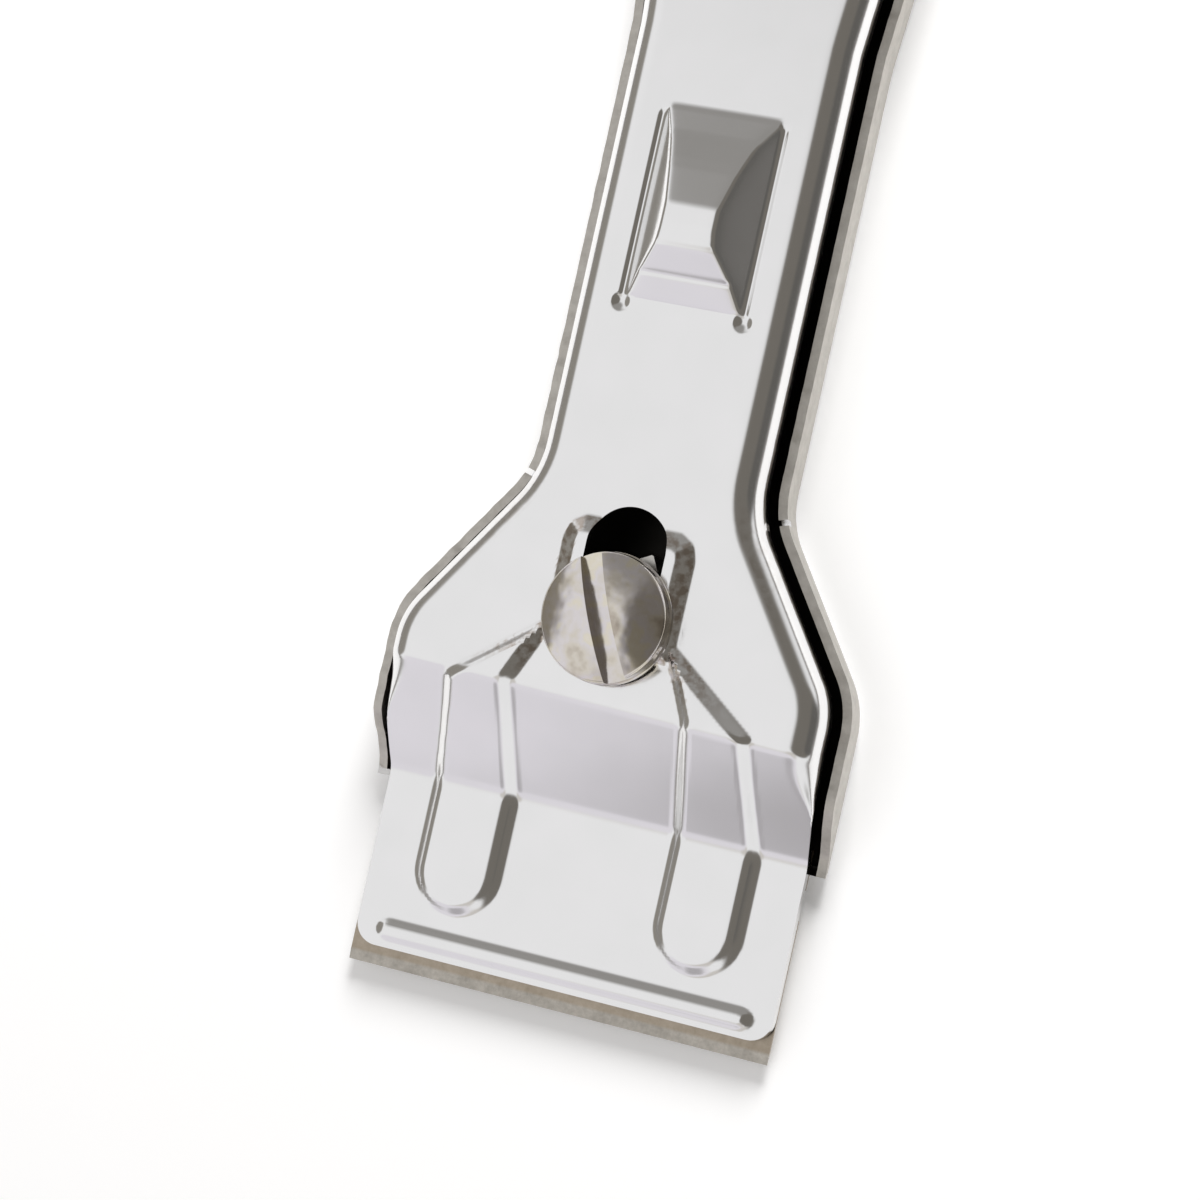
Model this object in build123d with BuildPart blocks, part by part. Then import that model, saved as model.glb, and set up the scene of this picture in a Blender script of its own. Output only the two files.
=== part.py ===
from build123d import *
from math import atan2, tan
import os

# A razor scraper stamped from two steel shells: a tray that is the handle, and a cover that
# slides forward over the blade's edge as its guard. One slotted screw clamps the cover.
# Stations run along Y from the blade's edge towards the handle's tail. Z is up, X is to the right,
# and the tray's floor lies on Z = 0.

# --- overall ---------------------------------------------------------------------------------
overall_length = 145.0  # blade edge to handle tail
sheet = 0.8  # both shells
running_gap = 0.05  # between faces that slide on each other
rest_gap = 0.10  # under the cover where it is carried

# --- blade: a standard single-edge razor blade -------------------------------------------------
blade_width = 38.9
blade_depth = 19.0  # edge to the back of the spine
blade_thickness = 0.25
bevel_depth = 0.9
edge_thickness = 0.03
spine_width = 38.0
spine_depth = 2.6
spine_thickness = 0.85
spine_corner = 0.2
spine_grip = 2.0  # how far the blade goes into its spine
blade_play = 0.3  # sideways, each way, over its locating lugs
notch_corner = 0.4
notch_gap = 0.4  # notch to lug, along the tool
notch_station = 13.6

# --- cover -------------------------------------------------------------------------------------
edge_showing = 1.75  # blade showing past the jaw
jaw_width = 38.5
jaw_corner = 2.0
jaw_length = 15.15
ramp_length = 9.4
ramp_rise = 6.6
shoulder_width = 39.2
shoulder_station = 30.5  # where the shoulder starts to narrow
neck_width = 19.9
neck_station = 44.5  # where the neck starts
grip_station = 84.0  # where the handle starts to widen
grip_width = 24.4
grip_full_station = 112.0
shoulder_radius = 7.0
neck_radius = 9.0
cover_back_station = 118.0
cover_back_corner = 4.0
flange_drop = 3.15  # rolled edge, from the cover's top
edge_roll = 1.9  # outer radius of the rolled edge

# --- embossing on the cover --------------------------------------------------------------------
emboss_height = 0.7
emboss_wall = 0.9
boss_width = 12.0
boss_corner = 1.5
boss_front_station = 30.4
boss_back_station = 41.8
leg_pitch = 22.2  # between the two legs' centres on the jaw
leg_width = 8.1
leg_end_station = 5.6
leg_top_inner = 7.5  # half widths of a leg where it crosses the upper bend
leg_top_outer = 14.0
bead_station = 3.3
bead_length = 34.8
bead_width = 2.1
bead_height = 0.4
bead_wall = 0.6
pusher_front_station = 60.3
pusher_length = 16.7
pusher_width = 12.1
pusher_height = 3.2
pusher_top_station = 65.0
pusher_top_length = 3.4
pusher_top_width = 4.3

# --- screw, washer and post ----------------------------------------------------------------------
screw_station = 33.5
guard_travel = 6.1  # forward from here, over the blade's edge
open_travel = 2.0  # back from here, baring more of the blade
slot_width = 7.1
screw_radius = 2.95
thread_clearance = 0.07
head_radius = 5.5
head_height = 2.4
head_edge = 0.5  # bevel round the head
driver_width = 1.9
driver_depth = 1.5
driver_angle = 24.0
screw_length = 8.0
washer_radius = 5.6
washer_thickness = 0.5
post_across_flats = 9.0
post_corner = 0.8  # chamfer on its upright edges and round its top
post_angle = 27.0
post_tail_radius = 3.8

# --- rear guide rivet ----------------------------------------------------------------------------
guide_station = 98.0
guide_radius = 2.0
guide_clearance = 0.15
guide_head_radius = 4.2
guide_head_height = 1.7
guide_head_edge = 1.6  # rounding of the head
guide_washer_radius = 4.6
guide_washer_thickness = 0.5
spacer_radius = 3.6
rivet_tail_radius = 3.2

# --- tray ------------------------------------------------------------------------------------------
side_gap = 0.87  # cover to wall, at the rim
rim_height = 5.4
wall_flare = 6.0  # degrees that the walls lean out
tray_front_station = 16.3
front_wall_height = 2.0
wall_rise_length = 7.0
floor_roll = 1.5
tail_flat = 3.0  # straight part of the tail's end
tongue_width = 36.0
tongue_front_station = 4.5
lug_width = 0.8
lug_length = 1.8
stop_length = 1.0
stop_width = 6.0
stop_pitch = 24.0
dimple_height = 0.8
dimple_wall = 1.0
dimple_radius = 6.2
tail_thickness = 0.6  # spread ends of the post and of the rivet
hang_hole_radius = 3.0
hang_hole_from_tail = 9.0
relief_width = 0.9
relief_depth = 2.4
relief_angle = 17.0  # across the bend between the shoulder and the neck

# --- levels, all from the sheet and the blade --------------------------------------------------
floor_top = sheet
spine_top = floor_top + spine_thickness
blade_bottom = floor_top + (spine_thickness - blade_thickness) / 2
blade_top = blade_bottom + blade_thickness
jaw_bottom = spine_top + rest_gap
jaw_top = jaw_bottom + sheet
cover_top = jaw_top + ramp_rise
cover_bottom = cover_top - sheet
flange_bottom = cover_top - flange_drop
boss_top = cover_top + emboss_height
dimple_top = floor_top + dimple_height
carried_level = cover_bottom - rest_gap
washer_bottom = boss_top + running_gap
head_bottom = washer_bottom + washer_thickness
guide_washer_bottom = cover_top + running_gap
guide_head_bottom = guide_washer_bottom + guide_washer_thickness

# --- the blade lies against one side of its play --------------------------------------------------
blade_shift = -blade_play
notch_length = lug_length + 2 * notch_gap
notch_depth = (blade_width - tongue_width) / 2 + lug_width + blade_play + running_gap

# --- stations along the cover ---------------------------------------------------------------------
ramp_start = edge_showing + jaw_length
ramp_end = ramp_start + ramp_length
ramp_angle = atan2(ramp_rise, ramp_length)
spine_front = blade_depth - spine_depth
spine_back = blade_depth
leg_root = boss_width / 4  # where the legs start, inside the boss
through = 4 * cover_top  # taller than anything here, for cuts


def y_at(station):
    """Y of a station: the object is centred on the origin, with its blade towards -Y."""
    return station - overall_length / 2


def plan_half(margin, front, back):
    """Right-hand half of the shells' outline, moved out by margin, between two stations."""
    shoulder = shoulder_width / 2 + margin
    neck = neck_width / 2 + margin
    grip = grip_width / 2 + margin
    lean = atan2(shoulder - neck, neck_station - shoulder_station)
    shift = margin * tan(lean / 2)
    return [
        (0, y_at(front)),
        (shoulder, y_at(front)),
        (shoulder, y_at(shoulder_station) + shift),
        (neck, y_at(neck_station) + shift),
        (neck, y_at(grip_station)),
        (grip, y_at(grip_full_station)),
        (grip, y_at(back)),
        (0, y_at(back)),
    ]


def plan_sketch(margin, front, back, back_corner):
    """Closed outline of a shell, with its shoulders, neck and back corners rounded."""
    with BuildSketch() as outline:
        with BuildLine():
            side = plan_half(margin, front, back)
            Polyline(side[-1], side[0], side[1])
            FilletPolyline(
                *side[1:],
                radius=[
                    shoulder_radius + margin,
                    neck_radius - margin,
                    neck_radius,
                    neck_radius,
                    back_corner,
                ],
            )
        make_face()
        mirror(about=Plane.YZ)
    return outline.sketch


def side_band(under, over, back):
    """The cover's side view as a solid, from its underside moved by under to its top moved by over."""
    shift = sheet * tan(ramp_angle / 2)
    with BuildPart() as band:
        with BuildSketch(Plane.YZ):
            with BuildLine():
                Polyline(
                    (y_at(edge_showing), jaw_top + over),
                    (y_at(ramp_start), jaw_top + over),
                    (y_at(ramp_end), cover_top + over),
                    (y_at(back), cover_top + over),
                    (y_at(back), cover_bottom + under),
                    (y_at(ramp_end) + shift, cover_bottom + under),
                    (y_at(ramp_start) + shift, jaw_bottom + under),
                    (y_at(edge_showing), jaw_bottom + under),
                    close=True,
                )
            make_face()
        extrude(amount=shoulder_width, both=True)
    return band.part


def raised_panel():
    """Outline of the boss round the slot with its two legs, which run down the ramp to the jaw."""
    with BuildSketch() as panel:
        boss_length = boss_back_station - boss_front_station
        with Locations((0, y_at(boss_front_station + boss_length / 2))):
            RectangleRounded(boss_width, boss_length, boss_corner)
        for side in (-1, 1):
            inner = leg_pitch / 2 - leg_width / 2
            outer = leg_pitch / 2 + leg_width / 2
            end = y_at(leg_end_station + leg_width / 2)
            with BuildLine():
                Polyline(
                    (side * inner, end),
                    (side * inner, y_at(ramp_start)),
                    (side * leg_top_inner, y_at(ramp_end)),
                    (side * leg_root, y_at(boss_front_station) + sheet),
                    (side * leg_root, y_at(screw_station)),
                    (side * boss_width / 2, y_at(screw_station)),
                    (side * leg_top_outer, y_at(ramp_end)),
                    (side * outer, y_at(ramp_start)),
                    (side * outer, end),
                )
                ThreePointArc(
                    (side * outer, end),
                    (side * leg_pitch / 2, y_at(leg_end_station)),
                    (side * inner, end),
                )
            make_face()
    return panel.sketch


def bead():
    """Outline of the stiffening bead across the jaw."""
    with BuildSketch() as strip:
        with Locations((0, y_at(bead_station))):
            SlotOverall(bead_length, bead_width)
    return strip.sketch


def emboss(outline, height, wall):
    """The metal that an embossed outline adds above the sheet, and the hollow that it leaves below."""
    with BuildPart() as raised:
        add(side_band(0, height, cover_back_station))
        with BuildSketch():
            add(outline)
        extrude(amount=through, mode=Mode.INTERSECT)
    with BuildPart() as hollow:
        add(side_band(-sheet, height - sheet, cover_back_station))
        with BuildSketch():
            add(outline)
            offset(amount=-wall, kind=Kind.INTERSECTION)
        extrude(amount=through, mode=Mode.INTERSECT)
    return raised.part, hollow.part


def pusher_form(inset, base, top):
    """A flat-topped pyramid, drawn in by inset all round."""
    foot = pusher_length - 2 * inset
    facet = max(pusher_top_length - inset, pusher_top_length / 2)
    foot_y = y_at(pusher_front_station + pusher_length / 2)
    facet_y = y_at(pusher_top_station + pusher_top_length / 2)
    with BuildPart() as form:
        with BuildSketch(Plane.XY.offset(base)):
            with Locations((0, foot_y)):
                Rectangle(pusher_width - 2 * inset, foot)
        with BuildSketch(Plane.XY.offset(top)):
            with Locations((0, facet_y)):
                Rectangle(pusher_top_width - inset, facet)
        loft(ruled=True)
    return form.part


def travel_slot(width, station):
    """Outline of a slot that lets the cover move both ways past a shank at a station."""
    with BuildSketch() as slot:
        with Locations((0, y_at(station + (guard_travel - open_travel) / 2))):
            SlotCenterToCenter(guard_travel + open_travel, width, rotation=90)
    return slot.sketch


# --- cover plate: the sliding guard, one pressing ------------------------------------------------
panel_raised, panel_hollow = emboss(raised_panel(), emboss_height, emboss_wall)
bead_raised, bead_hollow = emboss(bead(), bead_height, bead_wall)

with BuildPart() as cover_flange:
    with BuildSketch(Plane.YZ):
        with BuildLine():
            Polyline(
                (y_at(ramp_start), jaw_top),
                (y_at(ramp_end), cover_top),
                (y_at(cover_back_station), cover_top),
                (y_at(cover_back_station), jaw_top),
                close=True,
            )
        make_face()
    extrude(amount=shoulder_width, both=True)
    with BuildSketch(Plane.XY.offset(flange_bottom)):
        add(plan_sketch(0, edge_showing, cover_back_station, cover_back_corner))
        add(
            plan_sketch(-sheet, -sheet, cover_back_station - sheet, cover_back_corner - sheet),
            mode=Mode.SUBTRACT,
        )
    extrude(amount=through, mode=Mode.INTERSECT)

with BuildPart() as cover_plate:
    add(side_band(0, 0, cover_back_station))
    with BuildSketch():
        add(plan_sketch(0, edge_showing, cover_back_station, cover_back_corner))
    extrude(amount=through, mode=Mode.INTERSECT)
    add(cover_flange.part)
    # The jaw is a little narrower than the shoulders, with rounded front corners.
    with BuildSketch():
        with Locations((0, y_at(edge_showing + ramp_length))):
            Rectangle(2 * shoulder_width, 2 * ramp_length)
        with BuildSketch(mode=Mode.PRIVATE) as jaw:
            with Locations((0, y_at(edge_showing + jaw_length))):
                RectangleRounded(jaw_width, 2 * jaw_length, jaw_corner)
        add(jaw.sketch, mode=Mode.SUBTRACT)
    extrude(amount=through, mode=Mode.SUBTRACT)
    top_rim = cover_plate.faces().filter_by(Axis.Z).sort_by(Axis.Z)[-1].edges().sort_by(Axis.Y)[1:]
    fillet(top_rim, radius=edge_roll)
    add(panel_raised)
    add(panel_hollow, mode=Mode.SUBTRACT)
    add(bead_raised)
    add(bead_hollow, mode=Mode.SUBTRACT)
    add(pusher_form(0, cover_top - sheet / 2, cover_top + pusher_height))
    add(
        pusher_form(sheet, cover_bottom - sheet / 2, cover_top + pusher_height - sheet),
        mode=Mode.SUBTRACT,
    )
    with BuildSketch():
        add(travel_slot(slot_width, screw_station))
        add(travel_slot(2 * (guide_radius + guide_clearance), guide_station))
    extrude(amount=through, mode=Mode.SUBTRACT)
cover_plate.part.label = "cover_plate"

# --- body shell: the tray, its tongue under the blade, dimples and stops -------------------------
tray_back_corner = (grip_width - tail_flat) / 2
with BuildPart() as tray_hollow:
    with BuildSketch(Plane.XY.offset(rim_height)):
        add(
            plan_sketch(
                side_gap,
                tray_front_station - 3 * sheet,
                overall_length - sheet,
                tray_back_corner - sheet,
            )
        )
    extrude(amount=floor_top - rim_height, taper=wall_flare)
    fillet(tray_hollow.edges().group_by(Axis.Z)[0].sort_by(Axis.Y)[1:], radius=floor_roll - sheet)

with BuildPart() as body_shell:
    with BuildSketch(Plane.XY.offset(rim_height)):
        add(plan_sketch(side_gap + sheet, tray_front_station - sheet, overall_length, tray_back_corner))
    extrude(amount=-rim_height, taper=wall_flare)
    fillet(body_shell.edges().group_by(Axis.Z)[0].sort_by(Axis.Y)[1:], radius=floor_roll)
    add(tray_hollow.part, mode=Mode.SUBTRACT)
    # The walls fall away towards the front.
    with BuildSketch(Plane.YZ):
        with BuildLine():
            Polyline(
                (y_at(tray_front_station) - sheet, front_wall_height),
                (y_at(tray_front_station), front_wall_height),
                (y_at(tray_front_station + wall_rise_length), rim_height),
                (y_at(tray_front_station + wall_rise_length), through),
                (y_at(tray_front_station) - sheet, through),
                close=True,
            )
        make_face()
    extrude(amount=shoulder_width, both=True, mode=Mode.SUBTRACT)
    # Tongue: it joins the floor, then steps up to carry the blade flat in front of its spine.
    step_station = spine_front - 2 * rest_gap
    with BuildSketch(Plane.XY):
        with Locations((0, y_at((step_station + tray_front_station) / 2))):
            Rectangle(tongue_width, tray_front_station - step_station + 2 * sheet)
    extrude(amount=floor_top)
    with BuildSketch(Plane.XY.offset(blade_bottom - sheet)):
        with Locations((0, y_at((step_station + tongue_front_station) / 2))):
            Rectangle(tongue_width, step_station - tongue_front_station)
    extrude(amount=sheet)
    # Lugs in the blade's side notches, and stops behind its spine.
    with BuildSketch(Plane.XY.offset(blade_bottom - sheet / 2)):
        for side in (-1, 1):
            with Locations((side * (tongue_width - lug_width) / 2, y_at(notch_station))):
                Rectangle(lug_width, lug_length)
    extrude(amount=spine_top - blade_bottom + sheet / 2)
    with BuildSketch(Plane.XY.offset(sheet / 2)):
        for side in (-1, 1):
            with Locations((side * stop_pitch / 2, y_at(spine_back + rest_gap + stop_length / 2))):
                Rectangle(stop_width, stop_length)
    extrude(amount=spine_top - sheet / 2)
    # Raised dimples, so that the spread ends of the post and the rivet stay above the underside.
    with BuildSketch(Plane.XY):
        with Locations((0, y_at(screw_station)), (0, y_at(guide_station))):
            Circle(dimple_radius)
    extrude(amount=dimple_top)
    with BuildSketch(Plane.XY):
        with Locations((0, y_at(screw_station)), (0, y_at(guide_station))):
            Circle(dimple_radius - dimple_wall)
    extrude(amount=dimple_height, mode=Mode.SUBTRACT)
    with Locations((0, y_at(screw_station), 0)):
        Hole(radius=post_tail_radius)
    with Locations((0, y_at(guide_station), 0)):
        Hole(radius=guide_radius)
    with Locations((0, y_at(overall_length - hang_hole_from_tail), 0)):
        Hole(radius=hang_hole_radius)
    # Relief notches where the walls turn in to the neck.
    wall_out = neck_width / 2 + side_gap + sheet
    with BuildSketch(Plane.XY.offset(rim_height - relief_depth)):
        for side in (-1, 1):
            with Locations((side * wall_out, y_at(neck_station))):
                Rectangle(4 * sheet, relief_width, rotation=side * relief_angle)
    extrude(amount=through, mode=Mode.SUBTRACT)
body_shell.part.label = "body_shell"

# --- blade, ground on both sides of its edge -------------------------------------------------------
blade_middle = blade_bottom + blade_thickness / 2
with BuildPart() as blade:
    with BuildSketch(Plane.YZ.offset(blade_shift)):
        with BuildLine():
            Polyline(
                (y_at(0), blade_middle - edge_thickness / 2),
                (y_at(bevel_depth), blade_bottom),
                (y_at(spine_front + spine_grip), blade_bottom),
                (y_at(spine_front + spine_grip), blade_top),
                (y_at(bevel_depth), blade_top),
                (y_at(0), blade_middle + edge_thickness / 2),
                close=True,
            )
        make_face()
    extrude(amount=blade_width / 2, both=True)
    with BuildSketch(Plane.XY):
        for side in (-1, 1):
            with Locations((blade_shift + side * blade_width / 2, y_at(notch_station))):
                RectangleRounded(2 * notch_depth, notch_length, notch_corner)
    extrude(amount=through, mode=Mode.SUBTRACT)
blade.part.label = "blade"

# --- blade spine: a folded strip crimped over the blade's back --------------------------------------
with BuildPart() as blade_spine:
    with BuildSketch(Plane.YZ.offset(blade_shift)):
        with Locations((y_at(spine_front + spine_depth / 2), blade_middle)):
            RectangleRounded(spine_depth, spine_thickness, spine_corner)
        with Locations((y_at(spine_front + spine_grip / 2 - sheet / 2), blade_middle)):
            Rectangle(spine_grip + sheet, blade_thickness, mode=Mode.SUBTRACT)
    extrude(amount=spine_width / 2, both=True)
blade_spine.part.label = "blade_spine"

# --- threaded post, spread into the floor's front dimple ---------------------------------------------
with BuildPart() as threaded_post:
    with BuildSketch(Plane.XY.offset(dimple_top)):
        with Locations((0, y_at(screw_station))):
            Rectangle(post_across_flats, post_across_flats, rotation=post_angle)
    extrude(amount=carried_level - dimple_top)
    chamfer(threaded_post.edges().filter_by(Axis.Z), length=post_corner)
    chamfer(threaded_post.edges().group_by(Axis.Z)[-1], length=post_corner)
    with BuildSketch(Plane.XY.offset(dimple_height)):
        with Locations((0, y_at(screw_station))):
            Circle(post_tail_radius)
    extrude(amount=sheet)
    with BuildSketch(Plane.XY.offset(dimple_height - tail_thickness)):
        with Locations((0, y_at(screw_station))):
            Circle(post_tail_radius + dimple_wall)
    extrude(amount=tail_thickness)
    with Locations((0, y_at(screw_station), 0)):
        Hole(radius=screw_radius + thread_clearance)
threaded_post.part.label = "threaded_post"

# --- clamp screw with its slotted head, and the washer held under it ------------------------------------
with BuildPart() as clamp_screw:
    with BuildSketch(Plane.XY.offset(head_bottom + running_gap)):
        with Locations((0, y_at(screw_station))):
            Circle(head_radius)
    extrude(amount=head_height)
    chamfer(clamp_screw.edges().group_by(Axis.Z)[-1], length=head_edge)
    with BuildSketch(Plane.XY.offset(head_bottom + running_gap - screw_length)):
        with Locations((0, y_at(screw_station))):
            Circle(screw_radius)
    extrude(amount=screw_length + sheet)
    with BuildSketch(Plane.XY.offset(head_bottom + running_gap + head_height - driver_depth)):
        with Locations((0, y_at(screw_station))):
            Rectangle(driver_width, 3 * head_radius, rotation=driver_angle)
    extrude(amount=2 * driver_depth, mode=Mode.SUBTRACT)
clamp_screw.part.label = "clamp_screw"

with BuildPart() as screw_washer:
    with BuildSketch(Plane.XY.offset(washer_bottom)):
        with Locations((0, y_at(screw_station))):
            Circle(washer_radius)
            Circle(screw_radius + thread_clearance, mode=Mode.SUBTRACT)
    extrude(amount=washer_thickness)
screw_washer.part.label = "screw_washer"

# --- rear guide: rivet, the tube that carries the cover, and a washer -----------------------------------
with BuildPart() as guide_rivet:
    with BuildSketch(Plane.XY.offset(guide_head_bottom)):
        with Locations((0, y_at(guide_station))):
            Circle(guide_head_radius)
    extrude(amount=guide_head_height)
    fillet(guide_rivet.edges().group_by(Axis.Z)[-1], radius=guide_head_edge)
    with BuildSketch(Plane.XY.offset(dimple_height - tail_thickness)):
        with Locations((0, y_at(guide_station))):
            Circle(guide_radius)
    extrude(amount=guide_head_bottom - dimple_height + 2 * tail_thickness)
    with BuildSketch(Plane.XY.offset(dimple_height - tail_thickness)):
        with Locations((0, y_at(guide_station))):
            Circle(rivet_tail_radius)
    extrude(amount=tail_thickness)
guide_rivet.part.label = "guide_rivet"

with BuildPart() as guide_spacer:
    with BuildSketch(Plane.XY.offset(dimple_top)):
        with Locations((0, y_at(guide_station))):
            Circle(spacer_radius)
            Circle(guide_radius, mode=Mode.SUBTRACT)
    extrude(amount=carried_level - dimple_top)
guide_spacer.part.label = "guide_spacer"

with BuildPart() as guide_washer:
    with BuildSketch(Plane.XY.offset(guide_washer_bottom)):
        with Locations((0, y_at(guide_station))):
            Circle(guide_washer_radius)
            Circle(guide_radius, mode=Mode.SUBTRACT)
    extrude(amount=guide_washer_thickness)
guide_washer.part.label = "guide_washer"

# --- export ---------------------------------------------------------------------------------------------
pieces = [
    body_shell,
    cover_plate,
    blade,
    blade_spine,
    threaded_post,
    clamp_screw,
    screw_washer,
    guide_rivet,
    guide_spacer,
    guide_washer,
]
os.makedirs("parts", exist_ok=True)
for piece in pieces:
    export_step(piece.part, f"parts/{piece.part.label}.step")
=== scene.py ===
from math import acos, atan2, cos, pi, radians, sin, tan

import bmesh
import bpy
import numpy as np
from mathutils import Matrix, Vector


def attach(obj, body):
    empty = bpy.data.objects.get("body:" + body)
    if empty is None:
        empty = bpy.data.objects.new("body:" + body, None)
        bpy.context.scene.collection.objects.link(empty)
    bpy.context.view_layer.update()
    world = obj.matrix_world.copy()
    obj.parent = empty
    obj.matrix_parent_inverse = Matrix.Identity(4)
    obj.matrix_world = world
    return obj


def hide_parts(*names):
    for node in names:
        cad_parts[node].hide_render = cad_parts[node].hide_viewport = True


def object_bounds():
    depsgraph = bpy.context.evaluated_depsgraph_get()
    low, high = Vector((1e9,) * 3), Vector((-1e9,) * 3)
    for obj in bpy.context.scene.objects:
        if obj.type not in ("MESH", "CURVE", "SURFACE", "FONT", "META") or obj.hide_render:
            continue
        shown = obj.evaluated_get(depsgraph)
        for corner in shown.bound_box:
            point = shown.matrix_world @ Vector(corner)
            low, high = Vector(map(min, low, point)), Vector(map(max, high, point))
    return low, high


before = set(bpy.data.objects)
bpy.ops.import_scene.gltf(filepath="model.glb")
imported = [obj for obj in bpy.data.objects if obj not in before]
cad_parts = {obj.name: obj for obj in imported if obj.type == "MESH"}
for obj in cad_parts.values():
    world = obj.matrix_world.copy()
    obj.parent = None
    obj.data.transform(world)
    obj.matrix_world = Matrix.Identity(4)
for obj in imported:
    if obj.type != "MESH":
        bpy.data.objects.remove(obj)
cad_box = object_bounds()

scene = bpy.context.scene


# --- Handle tray --------------------------------------------------------------------------------
# The handle and the bed of the blade are one tray, pressed from 0.8 mm steel sheet and bright
# plated. Its walls lean out a little and are left as sheared, so their rims are rough and wavy.
# A flat tongue in front carries the blade, and two dimples hold the post and the rivet.
MM = 0.001
TOOL_LENGTH = 145.0
SHEET = 0.8
SIDE_GAP = 0.87
RIM_HEIGHT = 5.4
WALL_LEAN = tan(radians(6))
FLOOR_ROLL = 1.5
TRAY_FRONT = 16.3
FRONT_WALL = 2.0
WALL_RISE = 7.0
TONGUE_HALF = 18.0
TONGUE_FRONT = 4.5
TONGUE_STEP = 0.3
SCREW_STATION = 33.5
GUIDE_STATION = 98.0
DIMPLE_RADIUS = 6.2
DIMPLE_HEIGHT = 0.8
POST_HOLE = 3.8
RIVET_RADIUS = 2.0
HANG_HOLE = 3.0
HANG_HOLE_STATION = 136.0
LUG_STATION = 13.6
RELIEF_WIDTH = 0.5
RELIEF_TURN = radians(17)
TAIL_CORNER = 10.1
NECK_STATION = 44.5
SPINE_FRONT = 16.4
SPINE_BACK = 19.0
SPINE_TOP = 1.65


def hex_colour(code):
    """An sRGB hex colour as linear RGBA."""
    channels = [int(code[i:i + 2], 16) / 255 for i in (1, 3, 5)]
    return tuple(c / 12.92 if c <= 0.04045 else ((c + 0.055) / 1.055) ** 2.4 for c in channels) + (1,)


def add_node(tree, kind, inputs=None, **settings):
    """One node, with its settings, and its inputs given as values or as other nodes' outputs."""
    node = tree.nodes.new(kind)
    for name, value in settings.items():
        setattr(node, name, value)
    for name, value in (inputs or {}).items():
        socket = node.inputs[name]
        if isinstance(value, bpy.types.NodeSocket):
            tree.links.new(value, socket)
        else:
            socket.default_value = value
    return node


def new_material(name, metallic, roughness):
    """A material's tree and its shader, with the values that are the same all over."""
    material = bpy.data.materials.new(name)
    material.use_nodes = True
    shader = material.node_tree.nodes["Principled BSDF"]
    shader.inputs["Metallic"].default_value = metallic
    shader.inputs["Roughness"].default_value = roughness
    return material, material.node_tree, shader


# Bright-plated mild steel sheet: a soft mirror, a little uneven from the press and the tumbling.
plated_steel, tree, shader = new_material("plated_steel", 1.0, 0.14)
place = add_node(tree, "ShaderNodeTexCoord").outputs["Object"]
mottle = add_node(tree, "ShaderNodeTexNoise", {"Vector": place, "Scale": 1 / (4.0 * MM), "Detail": 3.0})
shade = add_node(tree, "ShaderNodeMix", {0: mottle.outputs["Fac"], 6: hex_colour("#EDEDEC"), 7: hex_colour("#F3F2F2")},
                 data_type="RGBA")
away = add_node(tree, "ShaderNodeVectorMath", {0: place, 1: (0, -39.0 * MM, 0.009)}, operation="DISTANCE")
near = add_node(tree, "ShaderNodeMapRange", {"Value": away.outputs["Value"], "From Min": 15 * MM, "From Max": 8 * MM})
facing = add_node(tree, "ShaderNodeNewGeometry").outputs["True Normal"]
tilt = add_node(tree, "ShaderNodeSeparateXYZ", {0: facing}).outputs["Z"]
wall = add_node(tree, "ShaderNodeMapRange", {"Value": tilt, "From Min": 0.985, "From Max": 0.94})
near = add_node(tree, "ShaderNodeMath", {0: near.outputs[0], 1: wall.outputs[0]}, operation="MULTIPLY")
along = add_node(tree, "ShaderNodeSeparateXYZ", {0: place}).outputs["Y"]
behind = add_node(tree, "ShaderNodeMapRange", {"Value": along, "From Min": -45.5 * MM, "From Max": -43.5 * MM})
near = add_node(tree, "ShaderNodeMath", {0: near.outputs[0], 1: behind.outputs[0]}, operation="MULTIPLY")
spots = add_node(tree, "ShaderNodeTexNoise", {"Vector": place, "Scale": 1 / (0.8 * MM), "Detail": 4.0})
spots = add_node(tree, "ShaderNodeMapRange", {"Value": spots.outputs["Fac"], "From Min": 0.42, "From Max": 0.62,
                                              "To Max": 0.7})
stain = add_node(tree, "ShaderNodeMath", {0: near.outputs[0], 1: spots.outputs[0]}, operation="MULTIPLY")
shade = add_node(tree, "ShaderNodeMix", {0: stain.outputs[0], 6: shade.outputs[2], 7: hex_colour("#A08C78")},
                 data_type="RGBA")
tree.links.new(shade.outputs[2], shader.inputs["Base Color"])
waves = add_node(tree, "ShaderNodeTexNoise", {"Vector": place, "Scale": 1 / (7.0 * MM), "Detail": 1.0})
pits = add_node(tree, "ShaderNodeTexNoise", {"Vector": place, "Scale": 1 / (0.35 * MM), "Detail": 2.0})
relief = add_node(tree, "ShaderNodeMath", {0: pits.outputs["Fac"], 1: 0.02}, operation="MULTIPLY")
relief = add_node(tree, "ShaderNodeMath", {0: relief.outputs[0], 1: waves.outputs["Fac"]}, operation="ADD")
bump = add_node(tree, "ShaderNodeBump", {"Height": relief.outputs[0], "Strength": 1.0, "Distance": 0.02 * MM})
tree.links.new(bump.outputs[0], shader.inputs["Normal"])

# The same steel where the cover shuts over it, coloured dark as painted shade for the inside of the tool, hardly a
# mirror.
painted_shade_steel, tree, shader = new_material("painted_shade_steel", 1.0, 0.45)
place = add_node(tree, "ShaderNodeTexCoord").outputs["Object"]
oxide_film_and_shade_mottle = add_node(tree, "ShaderNodeTexNoise", {"Vector": place, "Scale": 1 / (2.5 * MM), "Detail": 3.0})
shade = add_node(tree, "ShaderNodeMix", {0: oxide_film_and_shade_mottle.outputs["Fac"], 6: hex_colour("#2A2826"), 7: hex_colour("#3A3835")},
                 data_type="RGBA")
tree.links.new(shade.outputs[2], shader.inputs["Base Color"])

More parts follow.
